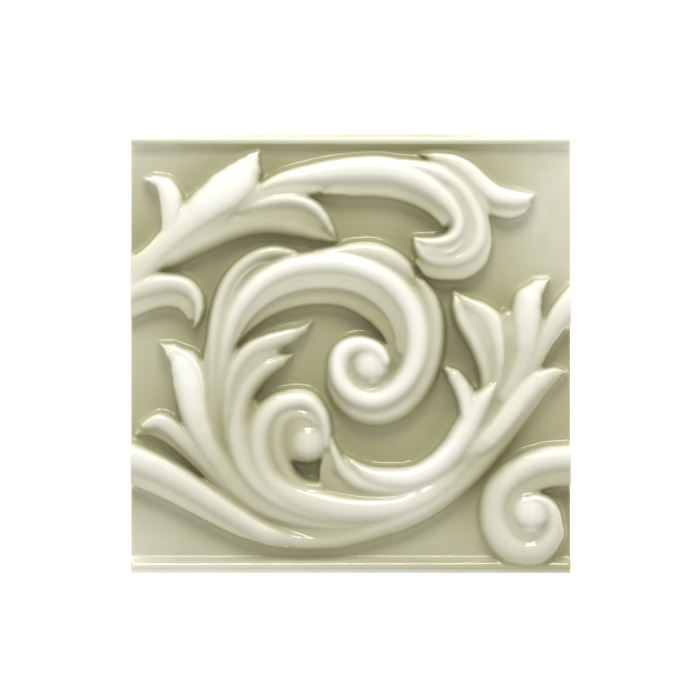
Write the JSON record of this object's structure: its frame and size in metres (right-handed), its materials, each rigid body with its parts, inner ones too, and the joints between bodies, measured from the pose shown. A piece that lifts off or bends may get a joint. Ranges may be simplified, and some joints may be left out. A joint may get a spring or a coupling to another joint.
{
  "type": "porcelain relief tile",
  "caption": "Square glazed porcelain wall tile with a leafy scroll in high relief between two rounded rims, on a plain flat back.",
  "frame": {"origin": "centre of the flat back, which is bonded to the wall or lies on the floor", "axes": "+Z out of the ornamented face, +X to the right along the two rims, +Y towards the top rim"},
  "size_m": [0.152, 0.152, 0.0182],
  "materials": {
    "glazed_porcelain": "gloss"
  },
  "bodies": {
    "root": {"tile": "glazed_porcelain"}
  },
  "joints": []
}
